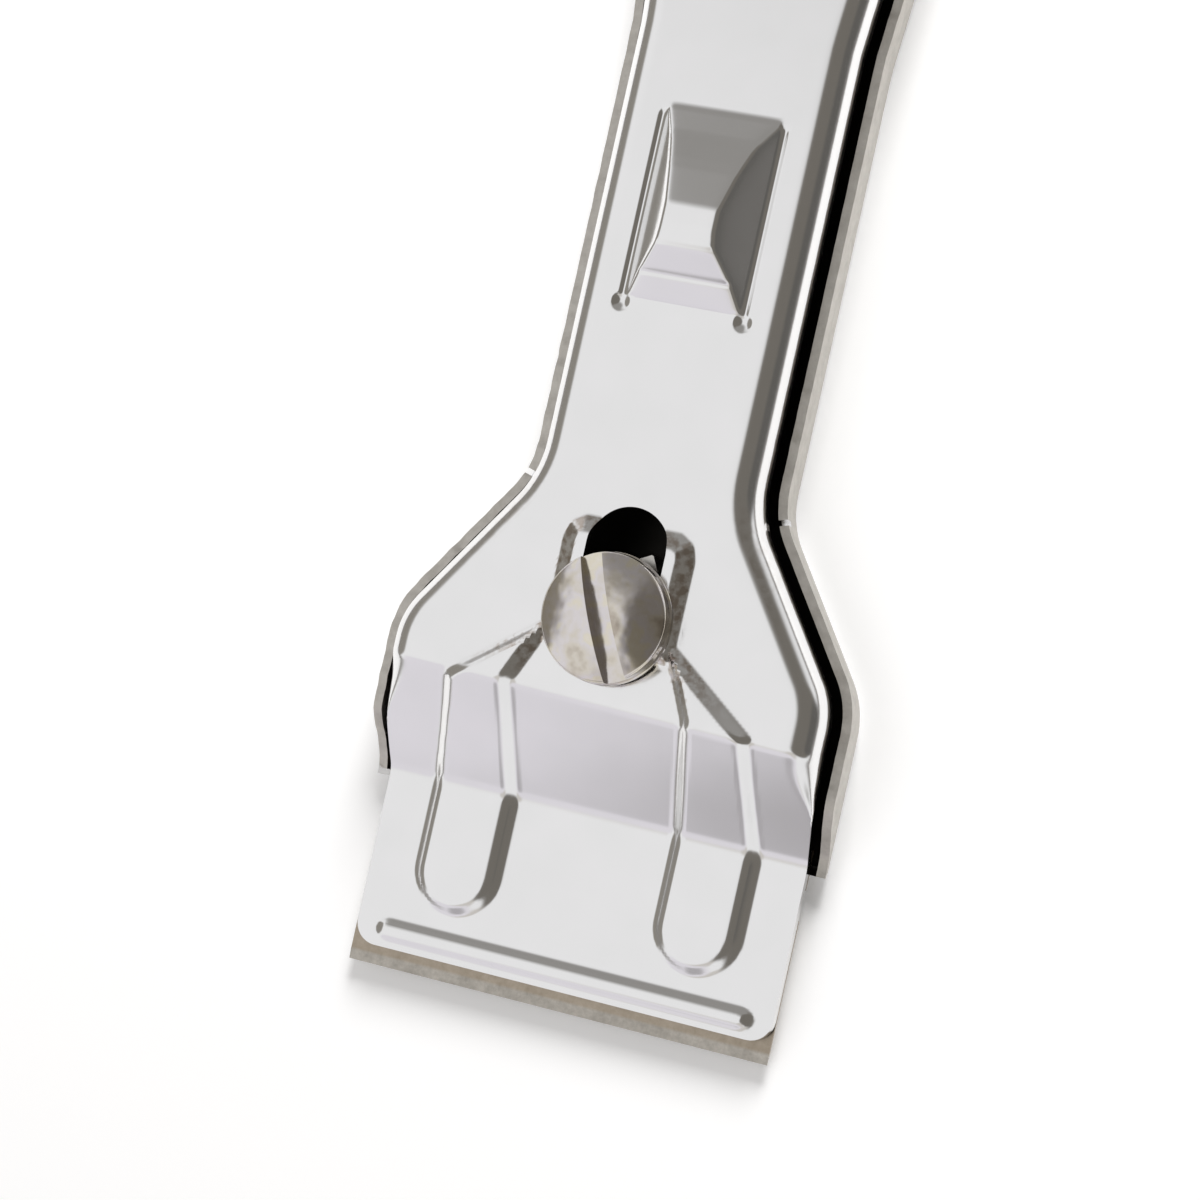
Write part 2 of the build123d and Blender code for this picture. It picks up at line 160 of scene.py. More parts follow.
# The walls' rims and outsides, sheared and barely touched by the plating: dull, warm and scuffed.
sheared_steel, tree, shader = new_material("sheared_steel", 1.0, 0.42)
place = add_node(tree, "ShaderNodeTexCoord").outputs["Object"]
scuff = add_node(tree, "ShaderNodeTexNoise", {"Vector": place, "Scale": 1 / (1.2 * MM), "Detail": 5.0,
                                              "Roughness": 0.7})
shade = add_node(tree, "ShaderNodeMix", {0: scuff.outputs["Fac"], 6: hex_colour("#A9A49C"), 7: hex_colour("#DEDAD3")},
                 data_type="RGBA")
tree.links.new(shade.outputs[2], shader.inputs["Base Color"])
bump = add_node(tree, "ShaderNodeBump", {"Height": scuff.outputs["Fac"], "Strength": 1.0, "Distance": 0.06 * MM})
tree.links.new(bump.outputs[0], shader.inputs["Normal"])


def ease(share):
    """From 0 to 1 without a corner at either end."""
    share = np.clip(share, 0, 1)
    return share ** 3 * (share * (6 * share - 15) + 10)


def rounded(points, radii):
    """A line of straight pieces with an arc of the given radius at each inner corner."""
    line = [np.array(points[0], float)]
    for before, corner, after, radius in zip(points, points[1:], points[2:], radii):
        corner = np.array(corner, float)
        back = (np.array(before) - corner) / np.linalg.norm(np.array(before) - corner)
        on = (np.array(after) - corner) / np.linalg.norm(np.array(after) - corner)
        half = acos(np.clip(back @ on, -1, 1)) / 2
        centre = corner + (back + on) / np.linalg.norm(back + on) * radius / sin(half)
        first = corner + back * radius / tan(half) - centre
        last = corner + on * radius / tan(half) - centre
        start = atan2(first[1], first[0])
        sweep = (atan2(last[1], last[0]) - start + pi) % (2 * pi) - pi
        line += [centre + radius * np.array((cos(start + sweep * i / 14), sin(start + sweep * i / 14)))
                 for i in range(15)]
    return np.array(line + [np.array(points[-1], float)])


def shell_side(margin, front, back, back_corner, front_points=None):
    """Half widths of the tool's outline, by station: shoulder, waist, grip and rounded tail."""
    shoulder, neck, grip = 19.6 + margin, 9.95 + margin, 12.2 + margin
    shift = margin * tan(atan2(shoulder - neck, 14.0) / 2)
    start = front_points or [(front, shoulder)]
    points = start + [(30.5 + shift, shoulder), (NECK_STATION + shift, neck), (84.0, neck),
                      (112.0, grip), (back, grip), (back, 0)]
    corners = [2.0] + [6.0] * (len(start) - 2) if len(start) > 1 else []
    return rounded(points, corners + [7.0 + margin, 9.0 - margin, 9.0, 9.0, back_corner])[:-1]


def nearest_edge(points, line):
    """Distance from each point to a line of straight pieces, and the outward normal there."""
    reach = np.full(len(points), 1e9)
    normal = np.zeros((len(points), 2))
    for start, end in zip(line, line[1:]):
        along = end - start
        if along @ along < 1e-12:
            continue
        share = np.clip((points - start) @ along / (along @ along), 0, 1)
        gap = np.linalg.norm(start + share[:, None] * along - points, axis=1)
        nearer = gap < reach
        reach[nearer] = gap[nearer]
        normal[nearer] = np.array((-along[1], along[0])) / np.linalg.norm(along)
    return reach, normal


def make_object(name, vertices, faces, shade_and_sheared_index=None):
    """A mesh from points in millimetres, with Y as a station, as an object at the origin."""
    mesh = bpy.data.meshes.new(name)
    points = np.array(vertices, float) - (0, TOOL_LENGTH / 2, 0)
    mesh.from_pydata((points * MM).tolist(), [], faces)
    # Materials by index: plated steel, the dark painted shade for the tool's inside, and the sheared steel.
    if shade_and_sheared_index:
        mesh.materials.append(plated_steel)
        mesh.materials.append(painted_shade_steel)
        mesh.materials.append(sheared_steel)
        mesh.polygons.foreach_set("material_index", shade_and_sheared_index)
    shape = bmesh.new()
    shape.from_mesh(mesh)
    bmesh.ops.remove_doubles(shape, verts=shape.verts, dist=1e-8)
    bmesh.ops.recalc_face_normals(shape, faces=shape.faces)
    shape.to_mesh(mesh)
    shape.free()
    obj = bpy.data.objects.new(name, mesh)
    scene.collection.objects.link(obj)
    return obj


def pressed_sheet(name, side, rows, columns, surface, roll_at, rim_at, lean, up):
    """A sheet with its border bent down (up=1) or up (up=-1), as one closed skin.

    surface gives the outer face's height and slope, roll_at the bend's radius, rim_at its end.
    """
    edge = np.array((0, 0.08, 0.2, 0.36, 0.56, 0.8, 1.06, 1.34, 1.7, 2.1, 2.5))
    grid = []
    for station in rows:
        half = np.interp(station, side[:, 0], side[:, 1])
        border = half - edge[:-1] * min(1, half / 4)
        middle = half - edge[-1] * min(1, half / 4)
        grid.append(np.concatenate((-border, np.linspace(-middle, middle, columns), border[::-1])))
    x = np.array(grid)
    across = x.shape[1]
    x = x.ravel()
    station = np.repeat(rows, across)
    right = side[:, ::-1]
    outline = np.concatenate((right * (-1, 1), right[::-1]))
    inside, outward = nearest_edge(np.stack((x, station), 1), outline)
    height, slope = surface(x, station)
    radius = np.maximum(roll_at(x, station), 1e-3)
    part = np.clip((radius - inside) / radius, 0, 1)
    height = height - up * (radius - np.sqrt(np.maximum(radius ** 2 - (part * radius) ** 2, 0)))
    sideways = part * ease(radius / 1.6)
    upright = np.sqrt(1 - sideways ** 2) / np.sqrt(1 + slope ** 2)
    normal = np.stack((sideways * outward[:, 0], sideways * outward[:, 1] - up * slope * upright,
                       up * upright), 1)
    outer = np.stack((x, station, height), 1)
    index = np.arange(len(x)).reshape(len(rows), across)
    loop = np.concatenate((index[0, :-1], index[:-1, -1], index[-1, :0:-1], index[:0:-1, 0]))
    rim = rim_at(x[loop], station[loop], height[loop])
    rings = 6
    skirts = []
    for ring in range(1, rings + 1):
        point = outer[loop].copy()
        drop = (rim - point[:, 2]) * ring / rings
        point[:, 2] += drop
        point[:, :2] += outward[loop] * (np.abs(drop) * lean)[:, None]
        skirts.append(point)
    skin = np.concatenate([outer] + skirts)
    way = np.concatenate([normal] + [normal[loop]] * rings)
    count = len(skin)
    vertices = np.concatenate((skin, skin - SHEET * way))
    start, size = len(outer), len(loop)
    belts = [loop] + [start + size * ring + np.arange(size) for ring in range(rings)]
    quads = np.stack((index[:-1, :-1], index[:-1, 1:], index[1:, 1:], index[1:, :-1]), -1).reshape(-1, 4)
    for above, below in zip(belts, belts[1:]):
        quads = np.concatenate((quads, np.stack((np.roll(above, -1), above, below, np.roll(below, -1)), -1)))
    last = belts[-1]
    close = np.stack((np.roll(last, -1), last, last + count, np.roll(last, -1) + count), -1)
    faces = np.concatenate((quads, quads[:, ::-1] + count, close))
    shade_and_sheared_index = np.zeros(len(faces), int)
    middle = vertices[faces].mean(1)
    # Painted shade: the inner faces under the cover, short of station 111.5, take the dark painted-shade material.
    painted_shade_faces = (middle[:, 2] < 3.6 if up < 0 else middle[:, 2] > 0) & (middle[:, 1] < 111.5)
    shade_and_sheared_index[len(quads):2 * len(quads)] = painted_shade_faces[len(quads):2 * len(quads)]
    if up < 0:
        shade_and_sheared_index[(middle[:, 2] > 1.2) & (shade_and_sheared_index == 0)] = 2
    return make_object(name, vertices, faces.tolist(), shade_and_sheared_index=shade_and_sheared_index.tolist())


def prism(outline, low, high, name="cutter"):
    """A straight-sided block over an outline of (x, station) points."""
    count = len(outline)
    vertices = [(x, station, z) for z in (low, high) for x, station in outline]
    faces = [tuple(range(count))[::-1], tuple(range(count, 2 * count))]
    faces += [(i, (i + 1) % count, count + (i + 1) % count, count + i) for i in range(count)]
    return make_object(name, vertices, faces)


def disc(x, station, radius, steps=96):
    """Points round a circle."""
    return [(x + radius * cos(2 * pi * i / steps), station + radius * sin(2 * pi * i / steps)) for i in range(steps)]


def block(x, station, width, length, turn=0.0):
    """Corners of a rectangle, turned about its centre."""
    corners = [(-width / 2, -length / 2), (width / 2, -length / 2), (width / 2, length / 2), (-width / 2, length / 2)]
    return [(x + a * cos(turn) - b * sin(turn), station + a * sin(turn) + b * cos(turn)) for a, b in corners]


def slot_outline(front, back, radius):
    """Points round a slot that runs along the tool."""
    return ([(radius * cos(a), back + radius * sin(a)) for a in np.linspace(0, pi, 49)]
            + [(radius * cos(a), front + radius * sin(a)) for a in np.linspace(pi, 2 * pi, 49)])


def combine(obj, tools, operation):
    """obj with other solids cut from it or joined to it, as one plain mesh."""
    for tool in tools:
        step = obj.modifiers.new("combine", "BOOLEAN")
        step.operation = operation
        step.solver = "EXACT"
        step.object = tool
    made = bpy.data.meshes.new_from_object(obj.evaluated_get(bpy.context.evaluated_depsgraph_get()))
    obj.modifiers.clear()
    obj.data = made
    for tool in tools:
        bpy.data.objects.remove(tool)


def finish_piece(obj, material, body, node, angle=32):
    """Shades a piece, gives it its material, and sets it in place of its node on its body."""
    obj.data.shade_smooth()
    obj.data.set_sharp_from_angle(angle=radians(angle))
    if not obj.data.materials:
        obj.data.materials.append(material)
    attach(obj, body)
    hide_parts(node)


tray_side = shell_side(SIDE_GAP + SHEET - RIM_HEIGHT * WALL_LEAN, TRAY_FRONT,
                       TOOL_LENGTH - RIM_HEIGHT * WALL_LEAN, TAIL_CORNER)
tray_outline = np.concatenate(([(TONGUE_FRONT, TONGUE_HALF), (TRAY_FRONT - 0.02, TONGUE_HALF)], tray_side))
tail = tray_outline[-1, 0]
tray_rows = np.unique(np.concatenate((
    np.linspace(TONGUE_FRONT, TRAY_FRONT - 0.02, 12), np.arange(TRAY_FRONT, 56, 0.5), np.arange(56, 88, 1.5),
    np.arange(88, 106, 0.5), np.arange(106, tail - TAIL_CORNER, 1.5),
    tail - TAIL_CORNER * (1 - np.sin(np.linspace(0, pi / 2, 40))))))


def tray_surface(x, station):
    """Underside of the tray: flat, with the step up to the tongue and the two dimples."""
    height = TONGUE_STEP * ease((TRAY_FRONT - 0.1 - station) / 0.5)
    for centre in (SCREW_STATION, GUIDE_STATION):
        height = height + DIMPLE_HEIGHT * ease((DIMPLE_RADIUS - np.hypot(x, station - centre)) / 1.2)
    return height, np.zeros(len(x))


def tray_rim(x, station, height):
    """Top of the tray's walls, low in front and rough where they were sheared."""
    wave = 0.05 * np.sin(station * 1.9 + x) + 0.035 * np.sin(station * 4.3 + 2) + 0.02 * np.sin(station * 9.7)
    top = FRONT_WALL + (RIM_HEIGHT - FRONT_WALL) * ease((station - TRAY_FRONT) / WALL_RISE)
    return np.where(station < TRAY_FRONT - 0.01, height + 0.01,
                    np.where((station < TRAY_FRONT + 0.01) & (np.abs(x) < 20.6), height + 0.01, top + wave - 0.105))


tray = pressed_sheet("handle_tray", tray_outline, tray_rows, 90, tray_surface,
                     lambda x, station: np.where(station < TRAY_FRONT, 0.0, FLOOR_ROLL), tray_rim, WALL_LEAN, -1)
wall_middle = 9.95 + SIDE_GAP + SHEET
holes = [prism(disc(0, SCREW_STATION, POST_HOLE), -1, 4), prism(disc(0, GUIDE_STATION, RIVET_RADIUS), -1, 4),
         prism(disc(0, HANG_HOLE_STATION, HANG_HOLE), -1, 4)]
holes += [prism(block(side * wall_middle, NECK_STATION, 4 * SHEET, RELIEF_WIDTH, side * RELIEF_TURN), 4.0, 9)
          for side in (-1, 1)]
combine(tray, holes, "DIFFERENCE")
tabs = [prism(block(side * 17.6, LUG_STATION, 0.8, 1.8), 0.7, SPINE_TOP) for side in (-1, 1)]
tabs += [prism(block(side * 12.0, SPINE_BACK + 0.6, 6.0, 1.0), 0.4, SPINE_TOP) for side in (-1, 1)]
combine(tray, tabs, "UNION")
finish_piece(tray, plated_steel, "body", "body_shell")


# --- Cover --------------------------------------------------------------------------------------
# The cover is pressed from the same sheet: jaw, ramp and a rolled edge, with a raised panel that
# stiffens it from the jaw to the screw, a bead across the jaw and a stepped thumb push. It slides
# forward over the blade's edge as its guard, on the slot round the clamp screw.
JAW_FRONT = 1.75
JAW_TOP = 2.55
COVER_TOP = 9.15
RAMP_START = 16.9
RAMP_END = 26.4
COVER_BACK = 118.0
EDGE_ROLL = 2.4
FLANGE_BOTTOM = 6.0
PANEL_RISE = 0.7
PANEL_WALL = 1.2
BOSS_WALL = 1.7
BEAD_RISE = 0.4
BEAD_WALL = 0.65
FRONT_SLOT = (31.45, 39.55, 3.55)  # stations of its ends' centres, and its radius
REAR_SLOT = (95.95, 104.05, 2.15)
PUSH_HEIGHT = 3.2
PUSH_FOOT = 5.15  # half widths at its foot and at its top
PUSH_TOP = 2.4
PUSH_GROOVE = 5.5

cover_side = shell_side(0.0, JAW_FRONT, COVER_BACK, 4.0,
                        [(JAW_FRONT, 0), (JAW_FRONT, 19.25), (17.5, 19.25), (21.5, 19.6)])[1:]
profile = rounded([(JAW_FRONT - 1, JAW_TOP), (RAMP_START, JAW_TOP), (RAMP_END, COVER_TOP),
                   (COVER_BACK + 1, COVER_TOP)], [2.6, 1.5])
boss_outline = np.array([(-6.0, 30.4), (6.0, 30.4), (6.1, 39.6), (5.7, 41.0), (4.4, 41.8), (-4.4, 41.8), (-5.7, 41.0),
                         (-6.1, 39.6)])
leg_arc = [(11.1 + 4.05 * cos(a), 9.65 + 4.05 * sin(a)) for a in np.linspace(pi, 2 * pi, 25)]
leg_outline = np.array(leg_arc + [(15.15, RAMP_START), (14.0, RAMP_END), (6.0, 32.4), (2.0, 34.0),
                                  (2.0, 31.6), (5.3, 31.4), (7.6, RAMP_END), (7.05, RAMP_START)])


def inside_of(x, station, outline):
    """Distance inside a closed outline, negative outside it."""
    ring = np.concatenate((outline, outline[:1]))
    points = np.stack((x, station), 1)
    reach = nearest_edge(points, ring)[0]
    crossings = np.zeros(len(x), int)
    for (ax, ay), (bx, by) in zip(ring, ring[1:]):
        if ay != by:
            crossings += ((ay > station) != (by > station)) & (x < (bx - ax) * (station - ay) / (by - ay) + ax)
    return np.where(crossings % 2 == 1, reach, -reach)


def pressed_wall(share):
    """From 0 to 1 in a straight slope, with a small round at its foot and its top."""
    share, bend = np.clip(share, 0, 1), 0.2
    foot, top = share ** 2 / (2 * bend), 1 - bend - (1 - share) ** 2 / (2 * bend)
    return np.where(share < bend, foot, np.where(share > 1 - bend, top, share - bend / 2)) / (1 - bend)


def thumb_push(x, station):
    """Height of the stepped thumb push above the cover, with its creases and the grooves beside it."""
    ridge = np.interp(station, *rounded(
        [(58.0, -0.2), (60.3, 0), (62.6, 1.25), (65.0, 3.0), (66.5, PUSH_HEIGHT), (68.4, PUSH_HEIGHT), (71.9, 2.35),
         (74.4, 1.5), (77.0, 0.0), (79.0, -0.2)], [0.25, 0.5, 0.4, 0.8, 0.6, 0.6, 0.5, 0.3]).T)
    flank = PUSH_HEIGHT * (PUSH_FOOT - np.abs(x)) / (PUSH_FOOT - PUSH_TOP)
    body = (ridge + flank - np.sqrt((ridge - flank) ** 2 + 0.06)) / 2
    for crease, depth in ((60.4, 0.05), (62.6, 0.09), (65.0, 0.08), (71.9, 0.04), (74.4, 0.04)):
        body = body - depth * np.exp(-((station - crease) / 0.16) ** 2) * ease((flank - ridge) / 0.3)
    end = np.maximum(np.maximum(59.9 - station, station - 76.2), 0)
    groove = 0.18 * np.clip(1 - np.hypot(np.abs(x) - PUSH_GROOVE, end) / 0.34, 0, 1)
    pit = 0.3 * np.clip(1 - (np.hypot(np.abs(x) - PUSH_GROOVE, station - 59.9) / 0.8) ** 2, 0, 1)
    return np.clip(body, 0, None) - np.maximum(groove, pit)


def cover_surface(x, station):
    """Outer face of the cover and its slope along the tool."""
    skewed = station + 0.03 * x * ease((station - 17) / 8) * ease((40 - station) / 12)
    height = np.interp(skewed, profile[:, 0], profile[:, 1])
    slope = (np.interp(skewed + 0.05, profile[:, 0], profile[:, 1])
             - np.interp(skewed - 0.05, profile[:, 0], profile[:, 1])) / 0.1
    panel = np.maximum(inside_of(x, station, boss_outline) / BOSS_WALL,
                       inside_of(np.abs(x), station, leg_outline) / PANEL_WALL)
    beside = np.hypot(np.maximum(np.abs(x) - 16.35, 0), station - 3.3)
    height = height + PANEL_RISE * pressed_wall(panel) + BEAD_RISE * pressed_wall((1.05 - beside) / BEAD_WALL)
    return height + thumb_push(x, station), slope


def cover_roll(x, station):
    """The edge's bend fades out down the ramp."""
    skewed = station + 0.03 * x * ease((station - 17) / 8) * ease((40 - station) / 12)
    level = np.interp(skewed, profile[:, 0], profile[:, 1])
    return EDGE_ROLL * ease((level - 4.6) / (COVER_TOP - 4.6))


def cover_rim(x, station, height):
    """Lower end of the rolled edge, rough where it was sheared."""
    wave = 0.04 * np.sin(station * 2.3) + 0.03 * np.sin(station * 5.1 + x)
    return np.minimum(height - 0.01, FLANGE_BOTTOM + np.abs(wave))


back_rows = COVER_BACK - np.array((0, 0.08, 0.2, 0.36, 0.56, 0.8, 1.06, 1.34, 1.7, 2.2, 2.8, 3.4, 4.0))
cover_rows = np.unique(np.round(np.concatenate((
    JAW_FRONT + 2 * (1 - np.cos(np.linspace(0, pi / 2, 9))), np.arange(3.9, 43, 0.25), np.arange(43, 58, 0.7),
    np.arange(58, 66, 0.15), np.arange(66, 78.5, 0.3), np.arange(79, 94, 1.2), np.arange(94, 108, 0.5),
    np.arange(108, 114, 1.0), back_rows)), 4))
cover = pressed_sheet("cover", cover_side, cover_rows, 104, cover_surface, cover_roll, cover_rim, 0.0, 1)
combine(cover, [prism(slot_outline(*FRONT_SLOT), 5, 14), prism(slot_outline(*REAR_SLOT), 5, 14)], "DIFFERENCE")
finish_piece(cover, plated_steel, "cover", "cover_plate")


# --- Blade --------------------------------------------------------------------------------------
# A loose single-edge razor blade of thin carbon steel, ground from both faces to its edge. It
# drops over the two lugs at its side notches, and is changed by sliding it out under the cover.
BLADE_SHIFT = -0.3
BLADE_BOTTOM = 1.1
BLADE_TOP = 1.35
BLADE_HALF = 19.45
BLADE_BACK = 18.4
BEVEL_END = 0.9


def across_tool(name, section, left, right):
    """A bar of constant section, given as (station, height) points, lying across the tool."""
    count = len(section)
    vertices = [(x, station, z) for x in (left, right) for station, z in section]
    faces = [tuple(range(count)), tuple(range(count, 2 * count))[::-1]]
    faces += [(i, (i + 1) % count, count + (i + 1) % count, count + i) for i in range(count)]
    return make_object(name, vertices, faces)


# Ground carbon steel: dull and mottled on the bevels, a brown oxide film where it is unground.
blade_steel, tree, shader = new_material("blade_steel", 1.0, 0.34)
place = add_node(tree, "ShaderNodeTexCoord").outputs["Object"]
along = add_node(tree, "ShaderNodeSeparateXYZ", {0: place}).outputs["Y"]
grain = add_node(tree, "ShaderNodeTexNoise", {"Vector": place, "Scale": 1 / (0.9 * MM), "Detail": 6.0,
                                              "Roughness": 0.7})
stretch = add_node(tree, "ShaderNodeMapping", {0: place, 3: (1, 0.12, 1)})
lines = add_node(tree, "ShaderNodeTexNoise", {"Vector": stretch.outputs[0], "Scale": 1 / (0.12 * MM), "Detail": 2.0})
oxide_film_and_shade_mottle = add_node(tree, "ShaderNodeMix", {0: grain.outputs["Fac"], 6: hex_colour("#8F8372"), 7: hex_colour("#C4B8A8")},
                data_type="RGBA")
ground = add_node(tree, "ShaderNodeMix", {0: grain.outputs["Fac"], 6: hex_colour("#7D7870"), 7: hex_colour("#DAD4CA")},
                  data_type="RGBA")
bevel = add_node(tree, "ShaderNodeMapRange", {"Value": along, "From Min": -71.45 * MM, "From Max": -71.7 * MM})
shade = add_node(tree, "ShaderNodeMix", {0: bevel.outputs[0], 6: oxide_film_and_shade_mottle.outputs[2], 7: ground.outputs[2]},
                 data_type="RGBA")
tree.links.new(shade.outputs[2], shader.inputs["Base Color"])
bump = add_node(tree, "ShaderNodeBump", {"Height": lines.outputs["Fac"], "Strength": 0.5, "Distance": 0.01 * MM})
tree.links.new(bump.outputs[0], shader.inputs["Normal"])

middle = (BLADE_BOTTOM + BLADE_TOP) / 2
blade = across_tool("razor_blade", [
    (0, middle - 0.012), (0.12, middle - 0.04), (BEVEL_END, BLADE_BOTTOM), (BLADE_BACK, BLADE_BOTTOM),
    (BLADE_BACK, BLADE_TOP), (BEVEL_END, BLADE_TOP), (0.12, middle + 0.04), (0, middle + 0.012)],
    BLADE_SHIFT - BLADE_HALF, BLADE_SHIFT + BLADE_HALF)
notches = [prism(block(BLADE_SHIFT + side * BLADE_HALF, LUG_STATION, 5.2, 2.6), 0.5, 2) for side in (-1, 1)]
combine(blade, notches, "DIFFERENCE")
finish_piece(blade, blade_steel, "body", "blade", 8)


# --- Blade spine --------------------------------------------------------------------------------
# A strip of softer steel folded over the back of the blade and crimped on it, which stiffens it
# and rests against the two stops on the tray's floor.
# Rolled strip, folded: a satin face with faint lines along the roll.
spine_steel, tree, shader = new_material("spine_steel", 1.0, 0.36)
shader.inputs["Base Color"].default_value = hex_colour("#BDBAB5")
place = add_node(tree, "ShaderNodeTexCoord").outputs["Object"]
stretch = add_node(tree, "ShaderNodeMapping", {0: place, 3: (0.05, 1, 1)})
lines = add_node(tree, "ShaderNodeTexNoise", {"Vector": stretch.outputs[0], "Scale": 1 / (0.2 * MM), "Detail": 2.0})
bump = add_node(tree, "ShaderNodeBump", {"Height": lines.outputs["Fac"], "Strength": 0.4, "Distance": 0.01 * MM})
tree.links.new(bump.outputs[0], shader.inputs["Normal"])

fold = [(SPINE_BACK - 0.42 + 0.42 * cos(a), middle + 0.42 * sin(a)) for a in np.linspace(-pi / 2, pi / 2, 13)]
spine = across_tool("blade_spine_strip", [(SPINE_FRONT, BLADE_TOP), (BLADE_BACK, BLADE_TOP), (BLADE_BACK, BLADE_BOTTOM),
                                          (SPINE_FRONT, BLADE_BOTTOM), (SPINE_FRONT, middle - 0.36),
                                          (SPINE_FRONT + 0.1, middle - 0.42)] + fold
                    + [(SPINE_FRONT + 0.1, middle + 0.42), (SPINE_FRONT, middle + 0.36)],
                    BLADE_SHIFT - 19.0, BLADE_SHIFT + 19.0)
finish_piece(spine, spine_steel, "body", "blade_spine")


# --- Threaded post ------------------------------------------------------------------------------
# A square steel post with the clamp screw's thread through it. Its turned tail goes through the
# tray's front dimple and is spread over, and the cover rests just above its top.
POST_TOP = 8.25
POST_FOOT = 1.6


def lathe(name, section, station, steps=96):
    """A turned piece: (radius, height) points of its section, from the axis or as a ring, spun round."""
    on_axis = section[0][0] == 0
    vertices = []
    for step in range(steps):
        angle = 2 * pi * step / steps
        vertices += [(radius * cos(angle), station + radius * sin(angle), z) for radius, z in section]
    count = len(section)
    faces = []
    for step in range(steps):
        here, there = step * count, (step + 1) % steps * count
        for i in range(count - 1 if on_axis else count):
            j = (i + 1) % count
            faces.append((here + i, here + j, there + j, there + i))
    return make_object(name, vertices, faces)


# Turned and milled steel under thin zinc: a soft grey sheen.
turned_steel, tree, shader = new_material("turned_steel", 1.0, 0.3)
shader.inputs["Base Color"].default_value = hex_colour("#CFCCC6")
place = add_node(tree, "ShaderNodeTexCoord").outputs["Object"]
stretch = add_node(tree, "ShaderNodeMapping", {0: place, 3: (1, 1, 6)})
lines = add_node(tree, "ShaderNodeTexNoise", {"Vector": stretch.outputs[0], "Scale": 1 / (1.5 * MM), "Detail": 3.0})
bump = add_node(tree, "ShaderNodeBump", {"Height": lines.outputs["Fac"], "Strength": 0.4, "Distance": 0.02 * MM})
tree.links.new(bump.outputs[0], shader.inputs["Normal"])

square = []
for turn in range(4):
    corner = 0.15 if turn == 0 else 0.8
    last_corner = 0.15 if turn == 1 else 0.8
    for a, b in ((4.5, -4.5 + last_corner), (4.5, 4.5 - corner)):
        angle = radians(27 + 90 * turn)
        square.append((a * cos(angle) - b * sin(angle), SCREW_STATION + a * sin(angle) + b * cos(angle)))
levels = ((POST_FOOT, 1.0), (POST_TOP - 0.75, 1.0), (POST_TOP, 0.86))
peak = max(square, key=lambda point: point[1])
vertices = [(peak[0] + (x - peak[0]) * scale, peak[1] + (station - peak[1]) * scale, z)
            for z, scale in levels for x, station in square]
count = len(square)
faces = [tuple(range(count))[::-1], tuple(range(2 * count, 3 * count))]
faces += [(low + i, low + (i + 1) % count, low + count + (i + 1) % count, low + count + i)
          for low in (0, count) for i in range(count)]
post = make_object("square_post", vertices, faces)
spread_end = lathe("post_tail", [(0, 0.2), (4.6, 0.2), (4.8, 0.35), (4.8, 0.8), (POST_HOLE, 0.8), (POST_HOLE, 2.0),
                                 (0, 2.0)], SCREW_STATION)
combine(post, [spread_end], "UNION")
combine(post, [prism(disc(0, SCREW_STATION, 3.02), -1, 10)], "DIFFERENCE")
finish_piece(post, turned_steel, "body", "threaded_post")


# --- Rear guide ---------------------------------------------------------------------------------
# Behind the thumb push, a rivet through the tray's rear dimple, with a tube that carries the cover
# and a washer on top of it, keeps the cover in line while it slides.
tube = lathe("guide_tube", [(2.0, POST_FOOT), (3.5, POST_FOOT), (3.6, POST_FOOT + 0.1), (3.6, POST_TOP - 0.1),
                            (3.5, POST_TOP), (2.0, POST_TOP)], GUIDE_STATION)
finish_piece(tube, turned_steel, "body", "guide_spacer")
rivet_head = [(4.2 * cos(a), 9.70 + 1.7 * sin(a)) for a in np.linspace(0.12, pi / 2 - 0.05, 16)]
rivet = lathe("guide_rivet_pin", [(0, 0.2), (3.0, 0.2), (3.2, 0.35), (3.2, 0.8), (2.0, 0.8), (2.0, 9.70), (4.15, 9.70)]
              + rivet_head + [(0, 11.4)], GUIDE_STATION)
finish_piece(rivet, turned_steel, "body", "guide_rivet")
rear_washer = lathe("guide_washer_ring", [(2.0, 9.2), (4.5, 9.2), (4.6, 9.3), (4.6, 9.6), (4.5, 9.7), (2.0, 9.7)],
                    GUIDE_STATION)
finish_piece(rear_washer, turned_steel, "body", "guide_washer")


# --- Clamp screw and washer ---------------------------------------------------------------------
# A large slotted machine screw of nickel-plated steel, with its washer, clamps the cover to the
# post. Backing it off four turns lets the cover slide.
HEAD_TOP = 12.85
HEAD_RADIUS = 5.5
CROWN_RADIUS = 14.0
CROWN_EDGE = radians(20.5)
SLOT_WIDTH = 1.9
SLOT_FLOOR = 11.1
SLOT_TURN = radians(24)

# Bright nickel over turned steel: a warm mirror, uneven from turning and tumbling, with slight stains.
plated_screw, tree, shader = new_material("plated_screw", 1.0, 0.15)
place = add_node(tree, "ShaderNodeTexCoord").outputs["Object"]
stains = add_node(tree, "ShaderNodeTexNoise", {"Vector": place, "Scale": 1 / (2.5 * MM), "Detail": 3.0})
tint = add_node(tree, "ShaderNodeValToRGB", {0: stains.outputs["Fac"]})
tint.color_ramp.elements[0].position = 0.3
tint.color_ramp.elements[0].color = hex_colour("#B9AFA2")
tint.color_ramp.elements[1].position = 0.75
tint.color_ramp.elements[1].color = hex_colour("#E6E0D8")
for position, code in ((0.42, "#D9D2C6"), (0.55, "#DFDADB"), (0.64, "#E3DCCB")):
    stop = tint.color_ramp.elements.new(position)
    stop.color = hex_colour(code)
tree.links.new(tint.outputs[0], shader.inputs["Base Color"])
waves = add_node(tree, "ShaderNodeTexNoise", {"Vector": place, "Scale": 1 / (3.0 * MM), "Detail": 2.0})
bump = add_node(tree, "ShaderNodeBump", {"Height": waves.outputs["Fac"], "Strength": 1.0, "Distance": 0.12 * MM})
tree.links.new(bump.outputs[0], shader.inputs["Normal"])

